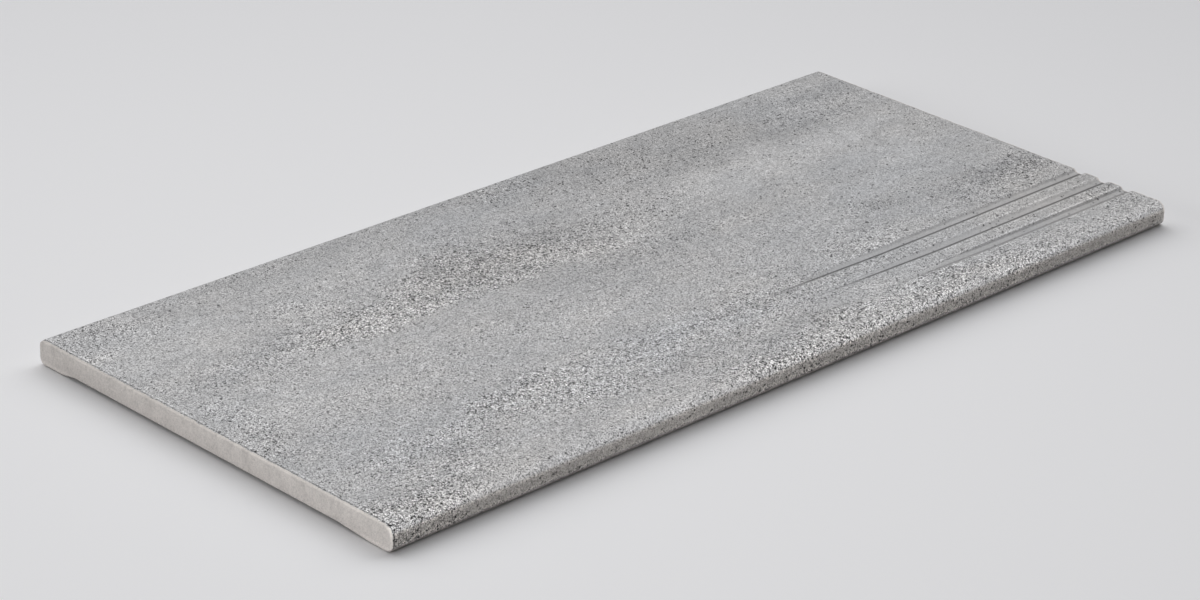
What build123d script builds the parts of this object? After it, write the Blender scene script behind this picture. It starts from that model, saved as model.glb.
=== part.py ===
from build123d import *
from math import hypot
import os

# Stair nosing tile: a pressed porcelain stoneware tread with a rounded front edge and three
# anti-slip grooves that start at the right-hand end and run out along the nosing.
#
# Millimetres. +X runs along the nosing to the grooved end, +Y from the nosing to the back edge and
# +Z up. The origin is at the middle of the bedding side, on the surface that the tile lies on.

# The slab
length = 600.0
width = 270.0
thickness = 14.0

# Its long edges and its ends
nose_top_round = 6.0
nose_foot_round = 3.5
back_top_round = 3.0
back_foot_round = 4.0
end_arris = 1.0

# The hollow under the tile, from end to end between the nosing's foot and a strip at the back
nose_foot_width = 14.0
nose_foot_slope = 25.0
back_foot_width = 19.0
back_foot_slope = 10.0
hollow_depth = 1.8
hollow_round = 12.0

# The anti-slip grooves, counted from the nosing to the back
groove_count = 3
front_groove_setback = 28.0
groove_pitch = 17.2
groove_depth = 2.0
groove_floor = 4.0
groove_near_wall = 2.7
groove_far_wall = 1.9
groove_near_lip_round = 2.2
groove_far_lip_round = 0.5
groove_floor_round = 1.2

# How far the front groove reaches from the grooved end, and how much further each next one does
front_groove_reach = 218.0
groove_reach_step = 30.0
groove_run_out = 95.0

# The keyed back: shallow square cells between ribs, in the roof of the hollow
key_cell = 38.0
key_rib = 10.0
key_end_rim = 12.0
key_side_rim = 5.0
key_depth = 0.8
key_corner = 4.0

# The groove section stands this much proud of the tread, so each lip arc ends in a clean edge
lip_stand = 0.02
overrun = 2.0


with BuildSketch() as groove_section:
    # Drawn with the tread's surface as the local X axis, which points to the back
    groove_mouth = groove_near_wall + groove_floor + groove_far_wall
    near_lip_x = -groove_mouth / 2
    far_lip_x = groove_mouth / 2
    with BuildLine():
        Polyline(
            (near_lip_x - groove_near_lip_round, groove_depth),
            (near_lip_x - groove_near_lip_round, lip_stand),
            (near_lip_x, lip_stand),
            (near_lip_x + groove_near_wall, -groove_depth),
            (far_lip_x - groove_far_wall, -groove_depth),
            (far_lip_x, lip_stand),
            (far_lip_x + groove_far_lip_round, lip_stand),
            (far_lip_x + groove_far_lip_round, groove_depth),
            close=True,
        )
    make_face()
    fillet(groove_section.vertices().group_by(Axis.Y)[0], groove_floor_round)
    fillet(groove_section.vertices().group_by(Axis.Y)[-2].sort_by(Axis.X)[-2], groove_far_lip_round)
    fillet(groove_section.vertices().group_by(Axis.Y)[-2].sort_by(Axis.X)[1], groove_near_lip_round)


with BuildPart() as stair_tile:
    # The slab is one long section: a deep round over the nose, a smaller one under it, and a hollow
    # under its middle that leaves the nosing thicker than the rest
    with BuildSketch(Plane.YZ.offset(-length / 2)) as slab_section:
        Rectangle(width, thickness, align=(Align.CENTER, Align.MIN))
        fillet(slab_section.vertices().group_by(Axis.X)[0].sort_by(Axis.Y)[-1], nose_top_round)
        fillet(slab_section.vertices().group_by(Axis.X)[0].sort_by(Axis.Y)[0], nose_foot_round)
        fillet(slab_section.vertices().group_by(Axis.X)[-1].sort_by(Axis.Y)[-1], back_top_round)
        fillet(slab_section.vertices().group_by(Axis.X)[-1].sort_by(Axis.Y)[0], back_foot_round)
        hollow_front = nose_foot_width - width / 2
        hollow_back = width / 2 - back_foot_width
        roof_front = hollow_front + nose_foot_slope
        roof_back = hollow_back - back_foot_slope
        with BuildLine():
            Polyline(
                (hollow_front, 0),
                (roof_front, hollow_depth),
                (roof_back, hollow_depth),
                (hollow_back, 0),
                close=True,
            )
        make_face(mode=Mode.SUBTRACT)
        hollow_corners = slab_section.vertices().filter_by_position(
            Axis.X, hollow_front - 0.1, hollow_back + 0.1
        ).filter_by_position(Axis.Y, 0, hollow_depth)
        fillet(hollow_corners, hollow_round)
    extrude(amount=length)
    chamfer(stair_tile.faces().filter_by(Axis.X).edges(), length=end_arris)

    # Each groove is cut at full depth from the end, then rises out of the tread
    for number in range(groove_count):
        groove_y = front_groove_setback + number * groove_pitch - width / 2
        groove_reach = front_groove_reach + number * groove_reach_step
        full_depth_length = groove_reach - groove_run_out
        section_plane = Plane(
            origin=(length / 2 - full_depth_length, groove_y, thickness),
            x_dir=(0, 1, 0),
            z_dir=(1, 0, 0),
        )
        with BuildSketch(section_plane) as groove:
            add(groove_section.sketch)
        extrude(
            groove.sketch,
            amount=hypot(groove_run_out, groove_depth) + overrun,
            dir=(-groove_run_out, 0, groove_depth),
            mode=Mode.SUBTRACT,
        )
        extrude(amount=full_depth_length + overrun, mode=Mode.SUBTRACT)

    # The keyed back is pressed up into the roof of the hollow
    key_pitch = key_cell + key_rib
    key_columns = int((length - 2 * key_end_rim + key_rib) // key_pitch)
    key_rows = int((roof_back - roof_front - 2 * key_side_rim + key_rib) // key_pitch)
    with BuildSketch(Plane((0, (roof_front + roof_back) / 2, 0))) as keys:
        with GridLocations(key_pitch, key_pitch, key_columns, key_rows):
            Rectangle(key_cell, key_cell)
        chamfer(keys.vertices(), length=key_corner)
    extrude(amount=hollow_depth + key_depth, mode=Mode.SUBTRACT)

stair_tile.part.label = "stair_tile"

os.makedirs("parts", exist_ok=True)
export_step(stair_tile.part, "parts/stair_tile.step")
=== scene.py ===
from math import cos, radians, sin

import bmesh
import bpy
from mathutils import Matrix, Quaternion, Vector, noise


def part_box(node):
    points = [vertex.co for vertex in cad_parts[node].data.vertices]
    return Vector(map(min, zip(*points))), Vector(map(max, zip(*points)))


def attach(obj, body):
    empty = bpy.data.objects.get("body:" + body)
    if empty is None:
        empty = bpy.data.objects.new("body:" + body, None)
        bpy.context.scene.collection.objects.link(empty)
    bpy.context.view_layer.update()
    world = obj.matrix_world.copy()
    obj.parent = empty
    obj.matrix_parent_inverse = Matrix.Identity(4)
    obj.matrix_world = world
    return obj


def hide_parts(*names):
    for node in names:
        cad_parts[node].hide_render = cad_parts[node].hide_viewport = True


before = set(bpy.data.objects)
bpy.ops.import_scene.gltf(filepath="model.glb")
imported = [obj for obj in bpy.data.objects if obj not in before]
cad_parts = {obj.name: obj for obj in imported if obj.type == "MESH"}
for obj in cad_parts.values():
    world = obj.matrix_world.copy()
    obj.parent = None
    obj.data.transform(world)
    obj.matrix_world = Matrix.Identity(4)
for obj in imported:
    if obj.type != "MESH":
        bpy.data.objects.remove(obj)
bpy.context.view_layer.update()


# The tile: one pressed and fired plate of porcelain stoneware, glazed over the tread and the rounded
# nosing. Its long edges are rounded in the mould, its ends are bare, and it is thicker at the nosing,
# with a hollow and keys for the adhesive underneath. Sizes are in metres.
nose_top_round = 0.006
nose_foot_round = 0.0035
back_top_round = 0.003
back_foot_round = 0.004
end_arris = 0.001
nose_foot_width = 0.014
nose_foot_slope = 0.025
back_foot_width = 0.019
back_foot_slope = 0.010
hollow_depth = 0.0018
key_cell = 0.038
key_rib = 0.010
key_end_rim = 0.012
key_side_rim = 0.005
key_depth = 0.0008
key_corner = 0.004
column_step = 0.00178
row_step = 0.00182
nearly = 0.00001

tile_low, tile_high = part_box("stair_tile")
tile_size = tile_high - tile_low
nose_y = tile_low.y
back_y = tile_high.y
tread_z = tile_high.z
end_x = tile_high.x

slab = bmesh.new()
bmesh.ops.create_cube(slab, size=1.0)
bmesh.ops.scale(slab, vec=tile_size, verts=slab.verts)
bmesh.ops.translate(slab, vec=(tile_low + tile_high) / 2, verts=slab.verts)


def round_long_edge(y, z, radius, segments):
    """Rounds the edge that runs along the tile at that place in its section."""
    edges = [
        edge for edge in slab.edges
        if all(abs(end.co.y - y) < nearly and abs(end.co.z - z) < nearly for end in edge.verts)
    ]
    bmesh.ops.bevel(
        slab, geom=edges, offset=radius, offset_type="OFFSET", segments=segments,
        profile=0.5, affect="EDGES", material=-1, clamp_overlap=False,
    )


round_long_edge(nose_y, tread_z, nose_top_round, 9)
round_long_edge(nose_y, tile_low.z, nose_foot_round, 5)
round_long_edge(back_y, tread_z, back_top_round, 4)
round_long_edge(back_y, tile_low.z, back_foot_round, 4)


def once_each(parts):
    """Each part of a mesh once, in the order in which the parts come."""
    return list(dict.fromkeys(parts))


def cut_across(faces, normal, distance):
    """Cuts those faces along a plane and gives back all their pieces."""
    edges = once_each(edge for face in faces for edge in face.edges)
    corners = once_each(corner for face in faces for corner in face.verts)
    cut = bmesh.ops.bisect_plane(
        slab, geom=faces + edges + corners, dist=nearly / 10,
        plane_co=normal * distance, plane_no=normal,
    )
    return [piece for piece in cut["geom"] if isinstance(piece, bmesh.types.BMFace)]


# The hollow under the tile runs from end to end, between the nosing's foot and a strip at the back
across = Vector((0, 1, 0))
along = Vector((1, 0, 0))
roof_front = nose_y + nose_foot_width + nose_foot_slope
roof_back = back_y - back_foot_width - back_foot_slope
bedding = [face for face in slab.faces if face.normal.z < -0.99]
for line in (nose_y + nose_foot_width, roof_front, roof_back, back_y - back_foot_width):
    bedding = cut_across(bedding, across, line)
roof = once_each(
    corner for face in bedding for corner in face.verts
    if abs(corner.co.y - roof_front) < nearly or abs(corner.co.y - roof_back) < nearly
)
bmesh.ops.translate(slab, vec=(0, 0, hollow_depth), verts=roof)

# The keyed back: a field of shallow square cells with cut corners, in the roof of the hollow
key_pitch = key_cell + key_rib
key_columns = int((tile_size.x - 2 * key_end_rim + key_rib) // key_pitch)
key_rows = int((roof_back - roof_front - 2 * key_side_rim + key_rib) // key_pitch)
field_x = (key_columns * key_pitch - key_rib) / 2
field_y = (key_rows * key_pitch - key_rib) / 2
field_middle = (roof_front + roof_back) / 2

field = [face for face in bedding if face.calc_center_median().z > hollow_depth - nearly]
bmesh.ops.inset_region(slab, faces=field, thickness=key_side_rim, use_even_offset=True)
for corner in field[0].verts:
    corner.co.x = field_x if corner.co.x > 0 else -field_x
    corner.co.y = field_middle + (field_y if corner.co.y > field_middle else -field_y)
for number in range(key_columns):
    field = cut_across(field, along, number * key_pitch - field_x)
    field = cut_across(field, along, number * key_pitch - field_x + key_cell)
for number in range(key_rows):
    field = cut_across(field, across, field_middle + number * key_pitch - field_y)
    field = cut_across(field, across, field_middle + number * key_pitch - field_y + key_cell)

cell_area = key_cell ** 2
cells = [face for face in field if abs(face.calc_area() - cell_area) < cell_area / 100]
sunk = bmesh.ops.extrude_discrete_faces(slab, faces=cells)["faces"]
for cell in sunk:
    bmesh.ops.translate(slab, vec=(0, 0, key_depth), verts=cell.verts)
cell_corners = once_each(
    edge for face in sunk for corner in face.verts for edge in corner.link_edges
    if abs(edge.verts[0].co.z - edge.verts[1].co.z) > key_depth / 2
)
bmesh.ops.bevel(
    slab, geom=cell_corners, offset=key_corner, offset_type="OFFSET", segments=1,
    profile=0.5, affect="EDGES", material=-1, clamp_overlap=False,
)

# The worn arris round each end
end_edges = once_each(
    edge for face in slab.faces for edge in face.edges
    if abs(face.normal.x) > 0.99 and abs(face.calc_center_median().x) > end_x - nearly
)
bmesh.ops.bevel(
    slab, geom=end_edges, offset=end_arris, offset_type="OFFSET", segments=2,
    profile=0.5, affect="EDGES", material=-1, clamp_overlap=False,
)

# Three anti-slip grooves run along the nosing from the right-hand end and rise out of the tread
groove_count = 3
front_groove_y = nose_y + 0.028
groove_pitch = 0.0172
groove_depth = 0.0020
groove_floor = 0.0040
groove_near_wall = 0.0027
groove_far_wall = 0.0019
groove_mouth = groove_near_wall + groove_floor + groove_far_wall
near_lip_round = 0.0006
far_lip_round = 0.0002
groove_floor_round = 0.0004
front_groove_reach = 0.218
groove_reach_step = 0.030
groove_run_out = 0.095
# Where the mesh has its lines across a groove, as shares of half its mouth
groove_lines = (
    -1.35, -1.2, -1.08, -0.97, -0.85, -0.72, -0.58, -0.46, -0.36, -0.25, -0.05,
    0.2, 0.4, 0.5, 0.58, 0.67, 0.76, 0.85, 0.93, 1.0, 1.1, 1.25,
)

row_ys = []
zone_ends = [nose_y + nose_top_round]
for number in range(groove_count):
    middle = front_groove_y + number * groove_pitch
    row_ys += [middle + line * groove_mouth / 2 for line in groove_lines]
    zone_ends += [middle + line * groove_mouth / 2 for line in (groove_lines[0], groove_lines[-1])]
zone_ends.append(back_y - back_top_round)
for zone_start, zone_end in zip(zone_ends[0::2], zone_ends[1::2]):
    rows = max(2, round((zone_end - zone_start) / row_step))
    row_ys += [zone_start + (zone_end - zone_start) * row / rows for row in range(1, rows)]

upper = [face for face in slab.faces if face.normal.z > 0.1 or abs(face.normal.x) > 0.3]
for row_y in sorted(row_ys):
    pieces = cut_across(upper, across, row_y)
    upper = [face for face in pieces if face.calc_center_median().y > row_y - nearly]

# Cross lines, so that the surface can take its relief
rails = [
    edge for edge in slab.edges
    if abs(edge.verts[0].co.x - edge.verts[1].co.x) > tile_size.x - 3 * end_arris
]
columns = round(tile_size.x / column_step)
bmesh.ops.subdivide_edgering(
    slab, edges=rails, interp_mode="LINEAR", cuts=columns, smooth=0.0, profile_shape_factor=0.0,
)


def groove_at(place):
    """How deep a groove is cut there, in metres."""
    deepest = 0.0
    for number in range(groove_count):
        off = place.y - front_groove_y - number * groove_pitch
        if abs(off) > groove_mouth * 0.8:
            continue
        full_from = end_x - (front_groove_reach + number * groove_reach_step - groove_run_out)
        rise = max(0.0, full_from - place.x) * groove_depth / groove_run_out
        near = (off + groove_mouth / 2) / groove_near_wall * groove_depth
        far = (groove_mouth / 2 - off) / groove_far_wall * groove_depth
        wall = min(near, far)
        blend = ((wall - groove_depth) ** 2 + groove_floor_round ** 2) ** 0.5
        depth = (wall + groove_depth - blend) / 2 - rise
        lip_round = near_lip_round if near < far else far_lip_round
        depth = (depth + (depth ** 2 + lip_round ** 2) ** 0.5) / 2
        fade = min(1.0, max(0.0, (groove_mouth * 0.8 - abs(off)) / (groove_mouth * 0.15)))
        deepest = max(deepest, depth * fade)
    return deepest


relief_depth = 0.00016
broad_relief = Vector((28.0, 60.0, 60.0))
close_relief = Vector((120.0, 190.0, 190.0))


def relief_at(place):
    """The stone-like relief of the glazed surface, from 0 down to about relief_depth."""
    broad = noise.fractal(place * broad_relief, 1.0, 2.0, 3)
    close = noise.fractal(place * close_relief, 0.8, 2.0, 3)
    level = 0.5 + 0.25 * broad + 0.3 * close
    return relief_depth * min(1.0, max(0.0, level))


# Where the print is lighter or darker than its mean, where it is rough and where it is warmer, as soft
# ovals: middle along the tile and across it, half length, half width (millimetres), strength
tone_ovals = (
    (-230, 0, 130, 40, 5), (-140, 85, 80, 30, 4), (-255, 85, 60, 40, 7), (-90, -35, 120, 25, 4),
    (-180, -110, 30, 15, 4), (40, 40, 30, 15, 5), (150, 50, 95, 30, 12), (240, 20, 60, 25, 9),
    (190, -10, 40, 15, 6), (240, -10, 40, 15, 5), (-110, -130, 60, 15, 6),
    (290, -45, 45, 15, -15), (170, -33, 22, 10, -14), (225, -40, 70, 15, -8), (290, -100, 40, 45, -6),
    (-85, 55, 35, 20, -7), (235, 55, 60, 15, 10), (225, 82, 45, 10, -8), (265, 112, 30, 12, -7),
    (255, -35, 30, 8, -9), (25, -75, 70, 12, -7), (-225, -95, 40, 15, -7),
    (155, 100, 100, 40, -9), (60, 120, 90, 35, -7), (-60, 55, 70, 35, -9), (0, 65, 40, 35, -7),
    (0, 10, 80, 20, -7), (-280, -120, 45, 20, -10), (10, -115, 70, 15, -8), (130, -120, 40, 15, -8),
    (-40, -100, 40, 15, -6), (-155, -70, 30, 10, -7), (-290, -30, 25, 35, -5), (-120, 125, 200, 15, -5),
)
rough_ovals = (
    (-80, 45, 150, 30, 0.8), (-130, 40, 60, 25, 0.5), (-50, 50, 45, 30, 0.35), (-215, 40, 65, 20, 0.5),
    (-55, 80, 60, 25, 0.4), (-185, 80, 40, 15, 0.4), (40, 50, 90, 35, 0.35), (30, 15, 80, 20, 0.25),
    (15, 125, 35, 20, 0.5), (-285, -125, 45, 20, 1.0), (-240, -115, 35, 20, 0.5),
    (-155, -70, 50, 15, 0.8), (-130, -90, 35, 15, 0.6), (-65, -80, 200, 30, 0.5),
    (-235, -85, 60, 25, 0.4), (100, -125, 190, 20, 0.8), (-25, -120, 60, 20, 0.4),
    (160, -30, 30, 15, 0.5), (125, -65, 40, 20, 0.4), (255, -50, 65, 25, 0.6), (-290, -25, 25, 30, 0.4),
    (-275, 5, 20, 25, 0.3), (-280, 110, 35, 30, 0.4), (105, 100, 90, 35, 0.35), (285, -110, 30, 35, 0.5),
    (250, 100, 55, 35, 0.4), (290, -45, 40, 20, 0.4), (-230, 80, 80, 50, -0.3),
    (-110, 13, 110, 14, -0.9), (-170, 105, 60, 25, -0.2),
)
warm_ovals = (
    (-65, 45, 190, 30, 0.9), (-240, -125, 105, 20, 1.0), (25, -130, 260, 15, 0.8),
    (265, -80, 70, 40, 1.2), (125, 100, 110, 55, 0.4), (-25, 110, 90, 35, -0.7), (155, -30, 150, 45, -0.9),
    (-240, -65, 70, 40, -0.7), (-40, -75, 90, 25, -0.8), (95, -90, 90, 40, -0.7), (220, 10, 90, 30, -0.8),
    (240, 105, 50, 45, -0.6),
)


def ovals_at(place, ovals):
    """The sum of the ovals' strengths there. Each one fades from its middle to its rim."""
    total = 0.0
    for middle_x, middle_y, half_length, half_width, strength in ovals:
        lengthwise = (place.x - middle_x) / half_length
        widthwise = (place.y - middle_y) / half_width
        inside = 1.0 - lengthwise * lengthwise - widthwise * widthwise
        if inside > 0.0:
            total += strength * inside * min(1.0, inside + 0.35)
    return total


# The glaze ends this high on the nose. The chips of the arris are deeper at the left-hand end
glaze_foot_z = 0.002
left_chip_depth = 0.0005
right_chip_depth = 0.0002
chip_pitch = 160.0
print_seed = 1

# Every point of the glazed side sinks by its groove, relief and chips, and keeps the print's tone there.
# The places of the print drift, so that no patch of it has an even edge. The drift has a fixed seed,
# because the clock sets it otherwise and no two runs would print the same tile.
noise.seed_set(print_seed)
slab.normal_update()
groove_layer = slab.verts.layers.float.new("groove")
tone_layer = slab.verts.layers.float.new("print_tone")
rough_layer = slab.verts.layers.float.new("print_rough")
warm_layer = slab.verts.layers.float.new("print_warm")
for vert in slab.verts:
    place = vert.co.copy()
    wrapped = place.y < nose_y + nose_foot_round and place.z > glaze_foot_z
    if place.z < tread_z - 2.2 * end_arris and not wrapped:
        continue
    depth = groove_at(place) if place.z > tread_z - 2.2 * end_arris else 0.0
    vert[groove_layer] = min(1.0, depth / groove_depth)
    drift = noise.noise_vector(place * 28.0) * 14.0 + noise.noise_vector(place * 90.0) * 6.0
    printed = Vector((place.x * 1000.0 + 1.6 * drift.x, place.y * 1000.0 + 0.8 * drift.y, 0.0))
    vert[tone_layer] = ovals_at(printed, tone_ovals)
    vert[rough_layer] = ovals_at(printed, rough_ovals)
    vert[warm_layer] = ovals_at(printed, warm_ovals)
    sunk_by = Vector((0, 0, depth))
    if vert.normal.z > 0.2 or wrapped:
        sunk_by += vert.normal * relief_at(place) * (1.0 - 0.8 * vert[groove_layer])
    if abs(place.x) > end_x - 1.5 * end_arris and place.z > tread_z - 1.5 * end_arris:
        chip_depth = right_chip_depth if place.x > 0 else left_chip_depth
        chipped = max(0.0, noise.fractal(place * chip_pitch, 0.8, 2.0, 3) + 0.2) * chip_depth
        sunk_by += Vector((chipped if place.x > 0 else -chipped, 0, chipped))
    vert.co = place - sunk_by

bmesh.ops.remove_doubles(slab, verts=slab.verts, dist=nearly / 10)
bmesh.ops.recalc_face_normals(slab, faces=slab.faces)
for face in slab.faces:
    face.smooth = True
tile_mesh = bpy.data.meshes.new("nosing_tile")
slab.to_mesh(tile_mesh)
slab.free()
tile = bpy.data.objects.new("nosing_tile", tile_mesh)
bpy.context.scene.collection.objects.link(tile)
flatten = tile.modifiers.new("even_normals", "WEIGHTED_NORMAL")
flatten.keep_sharp = True


class Reading:
    """A number on a piece's surface. Sums and products of readings add the Math nodes."""

    def __init__(self, finish, socket):
        self.finish = finish
        self.socket = socket

    def math(self, operation, *operands):
        return self.finish.node("ShaderNodeMath", {"operation": operation}, dict(enumerate(operands)))

    def __add__(self, other):
        return self.math("ADD", self, other)

    def __radd__(self, other):
        return self.math("ADD", other, self)

    def __sub__(self, other):
        return self.math("SUBTRACT", self, other)

    def __rsub__(self, other):
        return self.math("SUBTRACT", other, self)

    def __mul__(self, other):
        return self.math("MULTIPLY", self, other)

    def __rmul__(self, other):
        return self.math("MULTIPLY", other, self)

    def __truediv__(self, other):
        return self.math("DIVIDE", self, other)

    def __pow__(self, other):
        return self.math("POWER", self, other)

    def __neg__(self):
        return self.math("MULTIPLY", self, -1.0)

    def __abs__(self):
        return self.math("ABSOLUTE", self)

    def least(self, other):
        """The smaller of the two."""
        return self.math("MINIMUM", self, other)

    def most(self, other):
        """The larger of the two."""
        return self.math("MAXIMUM", self, other)

    def ramp(self, start, end):
        """0 at start, 1 at end, smooth between."""
        settings = {"interpolation_type": "SMOOTHSTEP", "clamp": True}
        inputs = {"Value": self, "From Min": start, "From Max": end}
        return self.finish.node("ShaderNodeMapRange", settings, inputs)


class Finish:
    """The node tree of one finish."""

    def __init__(self, name):
        self.material = bpy.data.materials.new(name)
        self.material.use_nodes = True
        self.tree = self.material.node_tree
        self.shader = self.tree.nodes["Principled BSDF"]

    def node(self, kind, settings=None, inputs=None, output=0):
        """Adds a node: its settings first, then its inputs, by name or number."""
        made = self.tree.nodes.new(kind)
        for name, value in (settings or {}).items():
            setattr(made, name, value)
        for name, value in (inputs or {}).items():
            self.feed(made.inputs[name], value)
        return Reading(self, made.outputs[output])

    def feed(self, socket, value):
        if isinstance(value, Reading):
            self.tree.links.new(value.socket, socket)
        else:
            socket.default_value = value

    def noise(self, place, scale, detail=2.0, roughness=0.5):
        inputs = {"Vector": place, "Scale": scale, "Detail": detail, "Roughness": roughness}
        return self.node("ShaderNodeTexNoise", {}, inputs)

    def stretch(self, place, x, y, z):
        return self.node("ShaderNodeVectorMath", {"operation": "MULTIPLY"}, {0: place, 1: (x, y, z)})

    def cells(self, place, scale, channel):
        """A random number for each cell of a Voronoi pattern."""
        colour = self.node("ShaderNodeTexVoronoi", {}, {"Vector": place, "Scale": scale}, output=1)
        return self.node("ShaderNodeSeparateColor", {}, {0: colour}, output=channel)

    def attribute(self, name):
        return self.node("ShaderNodeAttribute", {"attribute_name": name}, output=2)

    def mix(self, factor, first, second, blend="MIX"):
        settings = {"data_type": "RGBA", "blend_type": blend}
        return self.node("ShaderNodeMix", settings, {0: factor, 6: first, 7: second}, output=2)

    def grey_level(self, level):
        """A grey written as it is seen, from 0 to 255, as the linear value of a socket."""
        return (level / 255.0).most(0.0) ** 2.2


def seen(red, green, blue):
    """A colour written as it is seen, from 0 to 255, as the linear values of a socket."""
    return (*((channel / 255) ** 2.2 for channel in (red, green, blue)), 1.0)


stone = Finish("glazed_stoneware")
object_place = stone.node("ShaderNodeTexCoord", output=3)
millimetres = stone.node("ShaderNodeVectorMath", {"operation": "SCALE"}, {0: object_place, 3: 1000.0})
x = stone.node("ShaderNodeSeparateXYZ", {}, {0: millimetres}, output=0)
y = stone.node("ShaderNodeSeparateXYZ", {}, {0: millimetres}, output=1)
z = stone.node("ShaderNodeSeparateXYZ", {}, {0: millimetres}, output=2)
groove = stone.attribute("groove")
print_tone = stone.attribute("print_tone")
print_rough = stone.attribute("print_rough")
print_warm = stone.attribute("print_warm")

# Places on the tile in millimetres, from its ends, its nosing and its back edge
from_left = x + end_x * 1000.0
from_right = end_x * 1000.0 - x
from_end = end_x * 1000.0 - abs(x)
from_nosing = y - nose_y * 1000.0
from_back = back_y * 1000.0 - y

# The print: cloudy cement grey drawn out along the tread, in levels from 0 to 255
clouds = stone.noise(stone.stretch(millimetres, 0.45, 1.0, 1.0), 0.05, 4.0, 0.6) - 0.5
mottle = stone.noise(stone.stretch(millimetres, 0.8, 1.0, 1.0), 0.17, 3.0, 0.6) - 0.5
streaks = stone.noise(stone.stretch(millimetres, 0.05, 1.0, 1.0), 0.35, 2.0, 0.5) - 0.5
grit = stone.noise(millimetres, 0.9, 3.0, 0.7) - 0.5
smooth_groove = 1.0 - 0.8 * groove.ramp(0.05, 0.7)
rough = (print_rough + 0.9 * mottle + 0.7 * clouds + 0.15).least(1.0).most(0.0) * smooth_groove

# Its grain: sand of different greys, and among it open dark pits and white chips
wander = stone.node(
    "ShaderNodeTexNoise", {}, {"Vector": millimetres, "Scale": 0.9, "Detail": 1.0}, output=1,
)
wander_reach = (0.7, 0.7, 0.7)
wandered = stone.node(
    "ShaderNodeVectorMath", {"operation": "MULTIPLY_ADD"}, {0: wander, 1: wander_reach, 2: millimetres},
)
sand = stone.cells(millimetres, 2.0, 0) ** 0.4 - 0.714
stones = stone.cells(wandered, 0.8, 0) - 0.5
chip_rim = stone.node("ShaderNodeTexVoronoi", {}, {"Vector": wandered, "Scale": 0.55})
chip_kind = stone.cells(wandered, 0.55, 0)
chip_size = stone.cells(wandered, 0.55, 1)
inside_chip = (0.22 + 0.2 * chip_size - chip_rim).ramp(-0.04, 0.06)
pits = inside_chip * (chip_kind - 0.925 + 0.41 * rough).ramp(0.0, 0.05)
whites = inside_chip * (0.03 + 0.26 * rough - chip_kind).ramp(0.0, 0.05)

# Across a groove: painted shade along the near side of its floor and high on its far wall, and painted
# highlights on its lips
front_groove = front_groove_y * 1000.0
groove_step = groove_pitch * 1000.0
first_gap = front_groove + groove_step / 2
second_gap = first_gap + groove_step
past_first = y.ramp(first_gap - 0.1, first_gap + 0.1)
past_second = y.ramp(second_gap - 0.1, second_gap + 0.1)
across_groove = y - front_groove - groove_step * (past_first + past_second)
near_groove_painted_shade = (1.0 - abs(across_groove + 0.8)).ramp(0.0, 0.5) * groove.ramp(0.0, 0.6)
far_wall_painted_shade = (0.9 - abs(across_groove - 3.4)).ramp(0.0, 0.6) * groove.ramp(0.0, 0.3) * x.ramp(90.0, 150.0)
near_lip_highlight = (0.8 - abs(across_groove + 5.0)).ramp(0.0, 0.5) * x.ramp(60.0, 160.0)
far_lip_highlight = (0.9 - abs(across_groove - 4.6)).ramp(0.0, 0.7) * x.ramp(120.0, 220.0) * (1.0 - past_second)
lip_highlights = (near_lip_highlight + far_lip_highlight) * from_nosing.ramp(22.0, 22.4) * from_nosing.ramp(69.0, 68.0)

# The nose's face is painted darker, as painted shade, and is warmer, with softer grain; where it turns
# over it has a painted highlight
nose_top = nose_top_round * 1000.0
nose_turn = from_nosing.ramp(nose_top, nose_top - 2.0)
nose_face_shade_and_warmth = nose_turn * z.ramp(11.2, 7.8) * (1.0 - 0.6 * z.ramp(6.0, 3.0))
nose_crest_highlight = nose_turn * z.ramp(13.8, 12.6) * z.ramp(10.2, 11.4)

# The grain is coarser and softer towards the far right-hand corner
far_side = (0.55 * x + y).ramp(-60.0, 160.0)
flecks = stone.noise(stone.stretch(millimetres, 0.6, 1.0, 1.0), 0.45, 2.0, 0.6) - 0.5
grain_strength = (1.0 - 0.35 * far_side) * (1.0 - 0.4 * nose_face_shade_and_warmth) * smooth_groove

# A thin dark rim of painted shade and a pale bead where the glaze stops short of the left-hand end
edge_noise = stone.noise(millimetres, 0.35, 3.0, 0.6) - 0.5
glaze_edge = from_left + 0.9 * edge_noise
glaze_rim_shade = (0.6 - abs(glaze_edge - 2.0)).ramp(0.0, 0.3)
glaze_bead = (0.6 - abs(glaze_edge - 3.2)).ramp(0.0, 0.4)
far_edge = from_right.ramp(1.8, 1.0)

# The level of the print: its mean, then what each mark adds to it
print_level = 172.0
level = (
    print_level
    - 8.0 * rough
    + print_tone
    + 24.0 * clouds
    + 22.0 * mottle
    + 12.0 * streaks
    + (10.0 + 46.0 * rough) * grit
    + (152.0 + 186.0 * rough) * sand * grain_strength
    + (6.0 + 26.0 * far_side + 12.0 * rough) * flecks
    + 44.0 * rough * stones * grain_strength
    - (84.0 + 58.0 * rough) * pits
    + (10.0 + 14.0 * rough) * whites
    # painted shade in the grooves
    - (30.0 + 38.0 * past_first) * near_groove_painted_shade
    - (30.0 - 25.0 * past_first + 11.0 * past_second) * far_wall_painted_shade
    # painted highlights on the groove lips
    + 18.0 * lip_highlights
    # painted shade on the nose's face, and a painted highlight where it turns over
    - 17.0 * nose_face_shade_and_warmth
    + 6.0 * nose_crest_highlight
    # painted shade along the glaze's edge
    - (34.0 + 26.0 * nose_turn) * glaze_rim_shade
    + 16.0 * glaze_bead
    - 14.0 * far_edge
)
grey_print = stone.grey_level(level)
warmth = (0.5 + 0.33 * print_warm + 1.2 * clouds + 2.2 * nose_face_shade_and_warmth).least(2.0).most(0.0)
cool_tint = (0.986, 0.996, 1.029, 1.0)
warm_tint = (1.051, 0.996, 0.947, 1.0)
tint = stone.mix(warmth / 2.0, cool_tint, warm_tint)
print_colour = stone.mix(1.0, tint, grey_print, "MULTIPLY")

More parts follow.
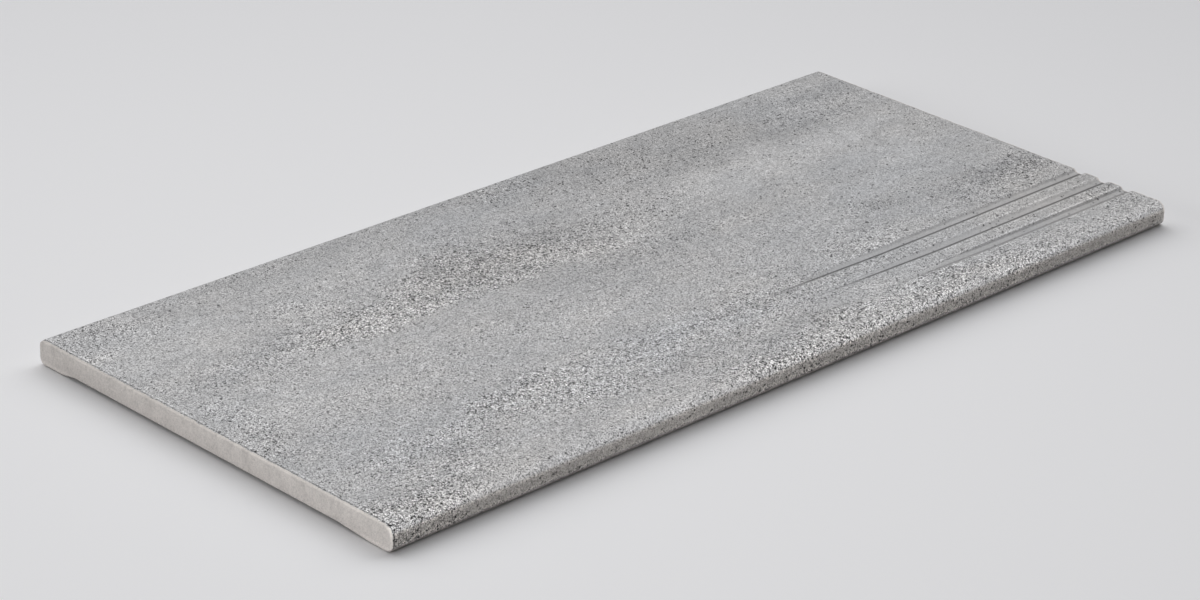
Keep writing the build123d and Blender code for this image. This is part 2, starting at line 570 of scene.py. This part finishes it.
# The bare body shows at the ends, the back edge and underneath, with a ragged edge to the glaze
bare_end = (from_end - 1.6 * edge_noise).ramp(1.7, 1.1)
bare_back = (from_back - 1.6 * edge_noise).ramp(1.4, 0.6)
bare_foot = (z + 1.2 * edge_noise).ramp(2.0, 1.2)
bare_under = z.ramp(4.2, 3.6) * from_nosing.ramp(6.0, 7.0)
bare = bare_end.most(bare_back).most(bare_foot).most(bare_under)
clay = stone.noise(millimetres, 0.6, 4.0, 0.7) - 0.5
clay_cloud = stone.noise(millimetres, 0.12, 3.0, 0.5) - 0.5
# The bare clay is darker away from the end faces: on the arris, the back edge and underneath
clay_away_from_ends = (from_end + 0.8 * edge_noise).ramp(0.0, 0.6) * from_nosing.ramp(2.5, 3.5)
worn_foot = (z + 0.8 * edge_noise).ramp(3.6, 1.8) * from_end.ramp(1.0, 0.6)
clay_grey = stone.grey_level(
    213.0
    # painted light: the clay is lighter towards the nosing
    - 0.06 * y
    + 40.0 * clay
    + 24.0 * clay_cloud
    + 24.0 * sand
    - 22.0 * clay_away_from_ends
    + 18.0 * worn_foot
)
clay_tint = (1.06, 1.0, 0.95, 1.0)
clay_colour = stone.mix(1.0, clay_tint, clay_grey, "MULTIPLY")
surface_colour = stone.mix(bare, print_colour, clay_colour)
stone.feed(stone.shader.inputs["Base Color"], surface_colour)

surface_roughness = 0.62 + 0.2 * bare + 0.1 * grit
stone.feed(stone.shader.inputs["Roughness"], surface_roughness)
stone.feed(stone.shader.inputs["Specular IOR Level"], 0.35)
# Heights of the finest relief, in millimetres
print_height = (0.05 + 0.09 * rough) * grit * smooth_groove - 0.14 * pits + 0.05 * whites
clay_height = 0.05 * clay
height = (1.0 - bare) * print_height + bare * clay_height
bump = stone.node("ShaderNodeBump", {}, {"Strength": 1.0, "Distance": 0.001, "Height": height})
stone.feed(stone.shader.inputs["Normal"], bump)
tile_mesh.materials.append(stone.material)

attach(tile, "root")
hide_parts("stair_tile")


# The studio: a pale seamless floor that takes the tile's soft shadow. A pool of light is painted into its
# paper: brightest in front of the tile and a little greyer away from it.
floor_size = 30.0
floor_mesh = bpy.data.meshes.new("studio_floor")
floor_plane = bmesh.new()
bmesh.ops.create_grid(floor_plane, x_segments=1, y_segments=1, size=floor_size / 2)
floor_plane.to_mesh(floor_mesh)
floor_plane.free()
floor = bpy.data.objects.new("studio_floor", floor_mesh)
bpy.context.scene.collection.objects.link(floor)
floor.location.z = tile_low.z
paper = Finish("studio_paper")
painted_light_middle = (-0.24, -0.08, 0.0)
floor_place = paper.node("ShaderNodeTexCoord", output=3)
painted_light_distance = paper.node(
    "ShaderNodeVectorMath", {"operation": "DISTANCE"}, {0: floor_place, 1: painted_light_middle}, output=1,
)
fade = -(painted_light_distance * painted_light_distance)
painted_light_falloff = 0.85 - 0.85 * fade.math("EXPONENT", fade)
paper_in_painted_light = seen(246, 246, 248)
paper_past_painted_light = seen(196, 196, 199)
paper.feed(paper.shader.inputs["Base Color"], paper.mix(painted_light_falloff, paper_in_painted_light, paper_past_painted_light))
paper.feed(paper.shader.inputs["Roughness"], 0.9)
paper.feed(paper.shader.inputs["Specular IOR Level"], 0.1)
floor_mesh.materials.append(paper.material)

# Light: a dim white room and four softboxes. Two of them light the floor alone: a wide one behind and
# above the tile, which throws its soft shadow to the front, and a low one on the left. The other two
# light the tile alone, from behind and from the front.
room_light = 0.056
world = bpy.data.worlds.new("studio_room")
world.use_nodes = True
world.node_tree.nodes["Background"].inputs["Color"].default_value = (1.0, 1.0, 1.0, 1.0)
world.node_tree.nodes["Background"].inputs["Strength"].default_value = room_light
bpy.context.scene.world = world


def soft_lamp(name, azimuth, elevation, distance, wide, high, strength, lit):
    """A rectangular lamp that faces the tile and lights one object.

    Azimuth is in degrees from the back towards the right.
    """
    data = bpy.data.lights.new(name, "AREA")
    data.shape = "RECTANGLE"
    data.size = wide
    data.size_y = high
    data.energy = strength
    lamp = bpy.data.objects.new(name, data)
    bpy.context.scene.collection.objects.link(lamp)
    turn = radians(azimuth)
    rise = radians(elevation)
    away = Vector((sin(turn) * cos(rise), cos(turn) * cos(rise), sin(rise)))
    lamp.location = away * distance
    lamp.rotation_mode = "QUATERNION"
    lamp.rotation_quaternion = away.to_track_quat("Z", "Y")
    receivers = bpy.data.collections.new("lit_by_" + name)
    receivers.objects.link(lit)
    lamp.light_linking.receiver_collection = receivers


soft_lamp("floor_softbox", 39.0, 46.0, 14.0, 40.0, 13.0, 3940.0, floor)
soft_lamp("left_softbox", -62.0, 14.0, 10.0, 6.0, 3.0, 260.0, floor)
soft_lamp("back_softbox", 24.0, 49.0, 14.0, 40.0, 14.0, 920.0, tile)
soft_lamp("front_softbox", -138.0, 60.0, 8.0, 7.0, 5.0, 615.0, tile)

# The camera stands two metres off, in front of the left-hand end, and looks down on the tread. It has a
# long lens and leans a little to one side, as in the photograph.
view_azimuth = radians(-46.114)
view_elevation = radians(24.825)
view_roll = radians(2.516)
view_distance = 1.99837
view_target = Vector((-0.02280, 0.00264, 0.0))
camera_data = bpy.data.cameras.new("photo_camera")
camera_data.sensor_fit = "HORIZONTAL"
camera_data.sensor_width = 36.0
camera_data.lens = 110.436
camera_data.clip_start = 0.05
camera_data.clip_end = 60.0
camera = bpy.data.objects.new("photo_camera", camera_data)
bpy.context.scene.collection.objects.link(camera)
towards_camera = Vector((
    sin(view_azimuth) * cos(view_elevation),
    -cos(view_azimuth) * cos(view_elevation),
    sin(view_elevation),
))
camera.rotation_mode = "QUATERNION"
camera.location = view_target + towards_camera * view_distance
camera.rotation_quaternion = towards_camera.to_track_quat("Z", "Y") @ Quaternion((0, 0, 1), view_roll)
bpy.context.scene.camera = camera

bpy.context.scene.view_settings.view_transform = "Standard"
